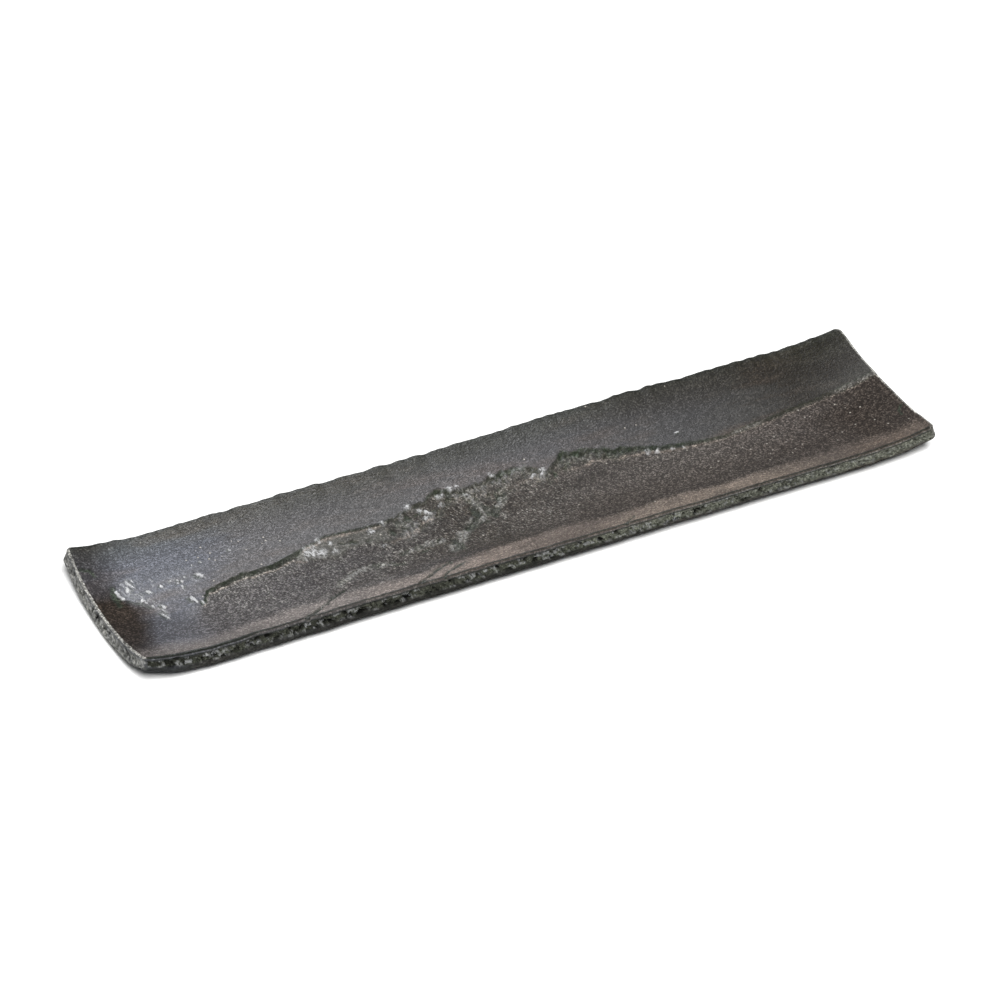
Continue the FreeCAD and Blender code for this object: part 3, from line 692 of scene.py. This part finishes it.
def tornWall(es, ea, ns, na):  # the wall's profile carried round the rim, torn along the middle of its height
    ends = ns ** 2
    out, t = wallProfile(ends)
    p = np.broadcast_to(np.concatenate([[0], np.cumsum(np.hypot(np.diff(es), np.diff(ea)))]), t.shape)
    sides = 0.35 + 0.65 * np.abs(na)  # the ends are cleaner than the long sides
    calm = 1 - 1.6 * np.abs(ns * na)  # and the corners cleaner still
    ragged = 0.30 * grit(p, 0.0, 7.0, 91, 3)
    deeper = 0.9 * smooth(-40, 50, es)  # towards the right it is torn nearly down to the edge
    band = calm * smooth(1.2, 1.7, t + ragged) * fade(3.6, 4.4, t + 1.3 * ragged - deeper)
    plates, border = shards(p / 1.5 + 0.5 * grit(p, t, 1.4, 93), t, 1.15, 95)
    worm = grit(p / 1.4, t, 1.3, 97, 3)
    coarse = 1.2 - 0.2 * smooth(-80, -40, es) - 0.55 * smooth(40, 110, es)  # the tear is coarser at the left
    pits = band * smooth(0.22, 0.55, grit(p / 1.5, t, 1.7, 99)) * sides * coarse
    for at in tray["slits"]:
        slit = bell(ea - 0.25 * t, at, 0.40) * (ns < -0.9)
        pits = np.maximum(pits, slit * zone((1.9, 2.4, 3.2, 3.7), t))
    nicks = smooth(0.34, 0.52, grit(p, t / 2.5, 1.6, 103)) * zone((1.0, 1.6, 3.4, 4.0), t)
    nicks = nicks * (1 - sides) * calm
    bites = band * smooth(0.15, 0.5, grit(p / 2, t, 2.4, 109)) * fade(-70, -10, es) * (1 - ends)  # left
    bead = 0.10 * bell(t, 0.75, 0.4) - 0.14 * bell(t, 1.35, 0.22)
    push = out + sides * (band * (-0.30 + 0.24 * plates + 0.30 * worm) + bead)
    push = push + 0.10 * grit(p, 2.5, 15.0, 101) - 0.55 * pits - 0.5 * nicks - 0.45 * bites

    # the rim's dark: a line along the rim's edge, painted shade in the groove under the bead, and lower down
    # painted shade where the wall turns under
    bevel = 0.45 * fade(-112, -86, es)
    rim = np.maximum(fade(0.12 + bevel, 0.35 + bevel, t), bell(t, 1.30, 0.20)) * (1 - ends)
    # painted highlights along the ends' top edges and on the long sides' bead, and painted light on the end
    # faces
    endLine = ends * bell(t, 0.28, 0.36) * (1.1 + 0.4 * grit(p, 5.0, 4.0, 105))
    sideLine = (0.12 + 0.2 * smooth(0, 80, es)) * (1 - ends) * bell(t, 0.85, 0.20)
    endLight = (0.70 + 0.4 * grit(p, t, 1.5, 107)) * ends * smooth(0.9, 1.6, t) * (1 - pits)
    marks = {
        "rim": np.maximum(rim, 0.8 * smooth(3.8, 4.5, t) * fade(10, 90, es)),
        "torn": band * (0.4 + 0.6 * sides),
        "paleAndLit": np.clip(most(endLine, sideLine, endLight), 0, 1),
        # painted highlights on the torn wall's raised crumbs
        "paintedGlint": 0.36 * band * smooth(0.35, 0.9, plates + 0.5 * worm) * coarse,
        # painted shade: black in the pits, nicks, slits, bites and the cracks between plates
        "pitShade": np.clip(pits + nicks + 0.7 * bites + 0.7 * band * fade(0.02, 0.12, border), 0, 1),
    }
    return t, push, marks


def makeTray(material):
    level = tray["length"] / 2 - tray["endRun"]
    halfLong = level + tray["endRadius"] * math.asin(tray["endRun"] / tray["endRadius"])
    halfWide = tray["troughRadius"] * math.asin(tray["width"] / 2 / tray["troughRadius"])
    rim, wall = tray["rimRound"], tray["wall"]

    # top: a grid over the slab
    sizeS, sizeA = halfLong - rim, halfWide - rim
    nu, nv = tray["columns"][-1][0], tray["bands"][-1][0]
    columns, rows = along(tray["columns"], np.arange(nu + 1)), along(tray["bands"], np.arange(nv + 1))
    columns, rows = 2 * columns / columns[-1] - 1, 2 * rows / rows[-1] - 1
    s, a = np.meshgrid(sizeS * columns, sizeA * rows, indexing="ij")
    corner = np.where(s < 0, tray["leftCorner"], tray["rightCorner"]) - rim
    s, a = roundedGrid(s, a, sizeS, sizeA, corner)
    drop, marks = skinRelief(s, a)
    top = gridPoints(nu, nv)
    edge = gridEdge(top)

    # wall: hung from the rim, along its outward direction
    es, ea, er = s[edge], a[edge], corner.ravel()[edge]
    fromS, fromA = es - np.clip(es, -sizeS + er, sizeS - er), ea - np.clip(ea, -sizeA + er, sizeA - er)
    ns, na = fromS / np.hypot(fromS, fromA), fromA / np.hypot(fromS, fromA)
    t, push, wallMarks = tornWall(es, ea, ns, na)
    ws, wa = es + ns * push, ea + na * push
    wt = t * (1 - lacking(es, ea) / wall) + drop[edge] * fade(0, tray["reliefReach"], t)

    # underside: a grid with one cell to four of the rim
    coarser = 4
    inset = tray["baseInset"] + tray["endUnderRound"]
    bs, ba = (halfLong - inset) * columns[::coarser], (halfWide - inset) * rows[::coarser]
    bs, ba = (grid.ravel() for grid in np.meshgrid(bs, ba, indexing="ij"))
    bt = wall - lacking(bs, ba) * smooth(14, 26, np.abs(ba)) + tray["baseUneven"] * grit(bs, ba, 9.0, 111, 3)

    firstWall, firstBase = len(s), len(s) + t.size
    allS, allA, allT = (np.concatenate([over, side.ravel(), under])
                        for over, side, under in ((s, ws, bs), (a, wa, ba), (drop, wt, bt)))
    x, y, z = bend(allS, allA, allT)
    z = z + outOfTrue(allS, allA)
    number = np.arange(len(z))
    ground = (number >= firstBase) & (z < trayFoot)
    z = np.where(number >= firstWall, np.maximum(z, trayFoot), z)

    # the wall meets the underside in fans of triangles
    base = gridPoints(nu // coarser, nv // coarser, firstBase)
    rings = np.concatenate([edge[None, :], firstWall + np.arange(t.size).reshape(t.shape)])
    f = [np.roll(rings[-1], -k)[::coarser] for k in range(coarser + 1)]
    c0, c1 = gridEdge(base), np.roll(gridEdge(base), -1)
    fans = (f[0], c0, f[1]), (f[1], c0, f[2]), (f[2], c0, c1), (f[2], c1, f[3]), (f[3], c1, f[4])
    triangles = np.concatenate([np.stack(three, -1) for three in fans])
    quads = np.concatenate([gridQuads(top), ringQuads(rings), gridQuads(base)[:, ::-1]])

    def spread(over, side, under=0.0):  # one value per point of the top, the wall and the underside
        return np.concatenate([over, np.broadcast_to(side, t.shape).ravel(), np.full(len(bs), under)])

    none = np.zeros(len(s))
    over = fade(0, tray["finishReach"], t)
    values = {key: spread(mark, mark[edge] * over) for key, mark in marks.items()}
    backRim = 0.45 * smooth(26.5, 30.5, a)  # darker towards it
    values["rim"] = spread(np.maximum(0.7 * smooth(halfWide - 0.95, halfWide - 0.8, np.abs(a)), backRim),
                           wallMarks["rim"], 0.25)
    values["torn"], values["pitShade"] = spread(none, wallMarks["torn"]), spread(none, wallMarks["pitShade"])
    values["paleAndLit"] = values["paleAndLit"] + spread(none, wallMarks["paleAndLit"])
    values["paintedGlint"] = np.maximum(values["paintedGlint"], spread(none, wallMarks["paintedGlint"]))
    values["bare"] = ground
    print("tray:", len(quads) * 2 + len(triangles), "triangles")
    return meshPiece("tray_body", material, np.stack([x, y, z], -1), quads, triangles, values)


# Iron and manganese glaze on stoneware, satin where the old skin is whole, dry and sandy where the top layer
# tore away, brown where it runs thin over the front lip, bottle green and glassy where it pools; shade and
# highlights are painted into some of its colours.
glaze = {
    # mm along the tray, colour
    # the skin's lighter blue-grey towards the left is partly painted sheen, its darkest stops near the right
    # end partly painted shade
    "skin": [(-112, "#4d5058"), (-88, "#494849"), (-40, "#3e3d3c"), (30, "#464648"), (90, "#373634"),
             (110, "#26231e"), (132, "#33322e")],
    "dry": [(-80, "#4b494a"), (-20, "#2e2923"), (24, "#433f3c"), (80, "#484441"), (104, "#433e3b")],
    "lip": [(-110, "#5f5a58"), (-76, "#746e6b"), (-18, "#6d635c"), (18, "#4a423c"), (70, "#6e645b"),
            (104, "#4b443f"), (124, "#574d45")],
    # the torn wall gets lighter towards the right, partly as painted light
    "torn": [(-118, "#32342d"), (-80, "#42443c"), (0, "#41433b"), (90, "#62645b")],
    # painted light and shade here: the dark brown partly painted shade, the dark green partly, the near-black
    # of the rim partly, the black of the pits wholly; the light foot colour, the bluish white and the pale
    # fleck colour painted highlights, the light grey partly painted light
    "oliveTint": "#d6d9c8", "russet": "#453c36", "darkened": "#2a241f", "shelf": "#474641", "crumb": "#43413b",
    "fibreDark": "#1a1714", "fibreLight": "#7b7975", "poolAndShade": "#2a3127", "rim": "#1d201b", "footHighlight": "#756d66",
    "paleAndLit": "#9c9c98", "pitShade": "#070806", "bare": "#6a5e51", "paintedGlint": "#cfd1d4", "sparkleFleck": "#a5a19a",
    "sand": 0.42, "grain": 0.65, "chip": 0.65, "fleckGap": 2.0,  # mm, drawn coarser than real to show
    "mottle": (48, 11, 11), "streak": (0.4, 1.7, 1.0), "slant": 18.0,  # mm each way, degrees
    "drift": 100.0,  # mm that the mottle shifts the colours along the tray
    # each a pair: on the old skin, on dry and sandy clay
    "darkest": (0.68, 0.48), "grainGain": (1.28, 2.08), "roughness": (0.46, 0.70), "tooth": (0.8, 1.3),
    "toothDepth": 0.30,  # mm
    "sandGloss": -0.22, "glassGloss": -0.20, "dullness": 0.35,  # added to the roughness
    "ior": 1.54,
}


def ironGlaze():
    made, tree = newMaterial("satin_iron_glaze")
    tint, times, largest = {"data_type": "RGBA"}, {"operation": "MULTIPLY"}, {"operation": "MAXIMUM"}
    where = addNode(tree, "TexCoord", out="Object")
    mark = {key: addNode(tree, "Attribute", {"attribute_name": key}, out="Fac")
            for key in ("dry", "darkened", "shelf", "lip", "poolAndShade", "rim", "paintedGlint", "crumb", "footHighlight", "olive",
                        "fibre", "spark", "torn", "paleAndLit", "pitShade", "bare")}
    pattern = {}
    for key, slant, detail in (("mottle", 0.0, 4.0), ("streak", glaze["slant"], 2.0)):
        scale = [size * mm for size in glaze[key]]
        drawn = addNode(tree, "Mapping", {"vector_type": "TEXTURE", "Rotation": (0, 0, math.radians(slant)),
                                          "Scale": scale}, {"Vector": where}, "Vector")
        pattern[key] = addNode(tree, "TexNoise", {"Scale": 1.0, "Detail": detail, "Roughness": 0.6},
                               {"Vector": drawn}, "Fac")
    mottle, streak = pattern["mottle"], pattern["streak"]
    grain = addNode(tree, "TexNoise", {"Scale": 1 / (glaze["grain"] * mm), "Detail": 2.0, "Roughness": 0.6},
                    {"Vector": where}, "Fac")
    for key in ("sand", "chip"):
        cells = addNode(tree, "TexVoronoi", {"Scale": 1 / (glaze[key] * mm)}, {"Vector": where}, "Color")
        pattern[key] = addNode(tree, "SeparateColor", {}, {0: cells}, 0)
    chip = pattern["chip"]
    sand = addNode(tree, "Math", {"operation": "POWER", 1: 3.0}, {0: pattern["sand"]}, 0)  # a few bright

    # from one end to the other it runs cooler and greyer, then browner; the light blue-grey at the left is
    # partly painted sheen, the darkest stops at the right partly painted shade
    half, drift = tray["length"] / 2, glaze["drift"] * mm
    place = addNode(tree, "SeparateXYZ", {}, {0: where}, "X")
    shift = addNode(tree, "Math", {"operation": "MULTIPLY_ADD", 1: drift, 2: -drift / 2}, {0: mottle}, 0)
    place = addNode(tree, "Math", {"operation": "ADD"}, {0: place, 1: shift}, 0)
    place = addNode(tree, "MapRange", {"From Min": -half * mm, "From Max": half * mm},
                    {"Value": place}, "Result")
    tone = {}
    for key in ("skin", "dry", "lip", "torn"):
        stops = [((at + half) / half / 2, code) for at, code in glaze[key]]
        tone[key] = addNode(tree, "ValToRGB", {"stops": stops}, {0: place}, 0)
    warm = addNode(tree, "MapRange", {"From Min": 0.50, "From Max": 0.70, "To Max": 0.5},
                   {"Value": mottle}, "Result")
    colour = addNode(tree, "Mix", tint | {7: glaze["russet"]}, {0: warm, 6: tone["skin"]}, 2)
    colour = addNode(tree, "Mix", tint | {"blend_type": "MULTIPLY", 7: glaze["oliveTint"]},
                     {0: mark["olive"], 6: colour}, 2)
    colour = addNode(tree, "Mix", tint, {0: mark["dry"], 6: colour, 7: tone["dry"]}, 2)
    for key, low, high in (("fibreLight", 0.53, 0.68), ("fibreDark", 0.47, 0.32)):  # of the streaks
        hair = addNode(tree, "MapRange", {"From Min": low, "From Max": high}, {"Value": streak}, "Result")
        hair = addNode(tree, "Math", times, {0: hair, 1: mark["fibre"]}, 0)
        colour = addNode(tree, "Mix", tint | {7: glaze[key]}, {0: hair, 6: colour}, 2)
    # painted shade at the ends and the other darker places
    colour = addNode(tree, "Mix", tint | {7: glaze["darkened"]}, {0: mark["darkened"], 6: colour}, 2)
    for key in ("lip", "torn"):
        colour = addNode(tree, "Mix", tint, {0: mark[key], 6: colour, 7: tone[key]}, 2)
    hair = addNode(tree, "MapRange", {"From Min": 0.40, "From Max": 0.62, "To Min": 0.4, "To Max": 1.6},
                   {"Value": streak}, "Result")
    mark["paleAndLit"] = addNode(tree, "Math", times, {0: mark["paleAndLit"], 1: hair}, 0)  # these light places are combed too
    for key in ("shelf", "crumb", "footHighlight", "poolAndShade", "rim", "paleAndLit", "pitShade", "bare"):
        colour = addNode(tree, "Mix", tint | {7: glaze[key]}, {0: mark[key], 6: colour}, 2)

    # sandy grain: darker and lighter grit, more where the layer tore away, less on the lip and the shelf
    worked = addNode(tree, "Math", largest, {0: mark["lip"], 1: mark["shelf"]}, 0)
    worked = addNode(tree, "Math", {"operation": "MULTIPLY_ADD", 1: -0.8, 2: 1.0}, {0: worked}, 0)
    sandy = addNode(tree, "Math", largest, {0: mark["dry"], 1: mark["darkened"]}, 0)
    sandy = addNode(tree, "Math", times, {0: sandy, 1: worked}, 0)
    least, gain, rough, tooth = (addNode(tree, "MapRange", {"To Min": glaze[key][0], "To Max": glaze[key][1]},
                                         {"Value": sandy}, "Result")
                                 for key in ("darkest", "grainGain", "roughness", "tooth"))
    shade = addNode(tree, "Math", {"operation": "MULTIPLY_ADD"}, {0: sand, 1: gain, 2: least}, 0)
    cloud = addNode(tree, "MapRange", {"From Min": 0.3, "From Max": 0.7, "To Min": 0.8, "To Max": 1.2},
                    {"Value": mottle}, "Result")
    shade = addNode(tree, "Math", times, {0: shade, 1: cloud}, 0)
    colour = addNode(tree, "Mix", tint | {"blend_type": "MULTIPLY", 0: 1.0}, {6: colour, 7: shade}, 2)
    # painted highlights on broken flakes: a few facets, whole flakes all over, thin scales in streaks
    facet = addNode(tree, "MapRange", {"From Min": 0.66, "From Max": 0.88}, {"Value": chip}, "Result")
    facet = addNode(tree, "Math", times, {0: facet, 1: mark["paintedGlint"]}, 0)
    whole = addNode(tree, "MapRange", {"From Min": 0.75, "From Max": 1.0, "To Max": 0.68},
                    {"Value": mark["paintedGlint"]}, "Result")
    hair = addNode(tree, "MapRange", {"From Min": 0.44, "From Max": 0.60, "To Min": 0.10, "To Max": 0.90},
                   {"Value": streak}, "Result")
    hair = addNode(tree, "Math", times, {0: hair, 1: mark["paintedGlint"]}, 0)
    for more in (whole, hair):
        facet = addNode(tree, "Math", largest, {0: facet, 1: more}, 0)
    colour = addNode(tree, "Mix", tint | {7: glaze["paintedGlint"]}, {0: facet, 6: colour}, 2)
    # painted sparkle: stray bright grains
    cells = addNode(tree, "TexVoronoi", {"Scale": 1 / (glaze["fleckGap"] * mm)}, {"Vector": where})
    dot = addNode(tree, "MapRange", {"From Min": 0.17, "From Max": 0.10},
                  {"Value": cells.outputs["Distance"]}, "Result")
    pick = addNode(tree, "SeparateColor", {}, {0: cells.outputs["Color"]}, 0)
    pick = addNode(tree, "Math", {"operation": "LESS_THAN"}, {0: pick, 1: mark["spark"]}, 0)
    dot = addNode(tree, "Math", times, {0: dot, 1: pick}, 0)
    colour = addNode(tree, "Mix", tint | {7: glaze["sparkleFleck"]}, {0: dot, 6: colour}, 2)

    # bright grains and glassy pools are smoother, bare clay and the darkened places duller
    glassy = mark["torn"]
    for key in ("poolAndShade", "paintedGlint", "crumb"):
        glassy = addNode(tree, "Math", largest, {0: glassy, 1: mark[key]}, 0)
    for what, key in ((sand, "sandGloss"), (glassy, "glassGloss"), (mark["bare"], "dullness"),
                      (mark["darkened"], "dullness")):
        rough = addNode(tree, "Math", {"operation": "MULTIPLY_ADD", 1: glaze[key]}, {0: what, 2: rough}, 0)
    tooth = addNode(tree, "Math", times, {0: tooth, 1: grain}, 0)
    for what, key in ((streak, "fibre"), (chip, "paintedGlint")):
        more = addNode(tree, "Math", times, {0: what, 1: mark[key]}, 0)
        tooth = addNode(tree, "Math", {"operation": "ADD"}, {0: tooth, 1: more}, 0)
    bump = addNode(tree, "Bump", {"Strength": 1.0, "Distance": glaze["toothDepth"] * mm},
                   {"Height": tooth}, "Normal")
    skin = addNode(tree, "BsdfPrincipled", {"IOR": glaze["ior"]},
                   {"Base Color": colour, "Roughness": rough, "Normal": bump}, "BSDF")
    addNode(tree, "OutputMaterial", {}, {"Surface": skin})
    return made


body = makeTray(ironGlaze())
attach(body, "root")
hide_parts("stoneware_tray")
ware.objects.link(body)


pads = {
    "nodes": ["foot_pad_front_left", "foot_pad_front_right", "foot_pad_back_left", "foot_pad_back_right"],
    "edgeRound": 0.28, "fuzz": 0.05, "turns": 48,  # mm, mm, points round the edge
    "inner": [0.25, 0.5, 0.72, 0.9],  # shares of the flat's radius
    "felt": "#2b2a28", "fibre": "#4a4845", "fibreSize": 0.35, "fibreDepth": 0.1,  # mm
    "firstSeed": 200,
}


def pressedFelt():  # pressed wool felt: matt charcoal, short matted fibres, no gloss
    made, tree = newMaterial("pressed_wool_felt")
    where = addNode(tree, "TexCoord", out="Object")
    fibre = addNode(tree, "TexNoise", {"Scale": 1 / (pads["fibreSize"] * mm), "Detail": 4.0,
                                       "Distortion": 1.5}, {"Vector": where}, "Fac")
    colour = addNode(tree, "Mix", {"data_type": "RGBA", 6: pads["felt"], 7: pads["fibre"]}, {0: fibre}, 2)
    bump = addNode(tree, "Bump", {"Strength": 0.9, "Distance": pads["fibreDepth"] * mm},
                   {"Height": fibre}, "Normal")
    skin = addNode(tree, "BsdfPrincipled", {"Roughness": 0.95, "Sheen Weight": 0.3,
                                            "Specular IOR Level": 0.2},
                   {"Base Color": colour, "Normal": bump}, "BSDF")
    addNode(tree, "OutputMaterial", {}, {"Surface": skin})
    return made


# a profile (radius, height) turned about the pad's own upright line, its edge rounded and a little fuzzy
def makePad(node, material, seed):
    low, high = (np.array(c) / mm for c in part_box(node))
    centre, radius, thick = (low + high) / 2, (high[0] - low[0]) / 2, high[2] - low[2]
    soft = pads["edgeRound"]
    q = np.radians(np.linspace(0, 90, 5))
    flat = radius - soft
    inner = np.array(pads["inner"]) * flat
    ring = np.concatenate([inner, flat + soft * np.sin(q), flat + soft * np.cos(q), inner[::-1]])
    height = np.concatenate([0 * inner, soft * (1 - np.cos(q)), thick - soft + soft * np.sin(q),
                             thick + 0 * inner])
    turn = np.linspace(0, 2 * np.pi, pads["turns"], endpoint=False)
    g, h = np.meshgrid(ring, turn, indexing="ij")
    level = np.broadcast_to(height[:, None], g.shape)
    g = g + pads["fuzz"] * ripple(h * 12, level * 9, 3.0, seed) * smooth(0.8, 1.0, g / radius)
    points = np.stack([centre[0] + g * np.cos(h), centre[1] + g * np.sin(h), low[2] + level], -1)
    poles = np.array([[centre[0], centre[1], low[2]], [centre[0], centre[1], high[2]]])
    rings = np.arange(g.size).reshape(g.shape)
    after = np.roll(rings, -1, axis=1)
    bottom, top = (np.full(pads["turns"], g.size + k) for k in (0, 1))
    caps = np.concatenate([np.stack(three, -1) for three in ((after[0], rings[0], bottom),
                                                             (rings[-1], after[-1], top))])
    quads = ringQuads(rings)[:, [0, 3, 2, 1]]  # the rings climb, so the faces are turned round
    points = np.concatenate([points.reshape(-1, 3), poles])
    return meshPiece(node.replace("foot_pad", "felt_pad"), material, points, quads, caps)


felt = pressedFelt()
for seed, node in enumerate(pads["nodes"], pads["firstSeed"]):
    pad = makePad(node, felt, seed)
    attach(pad, "root")
    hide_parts(node)
    ware.objects.link(pad)
print("pads:", len(pads["nodes"]))
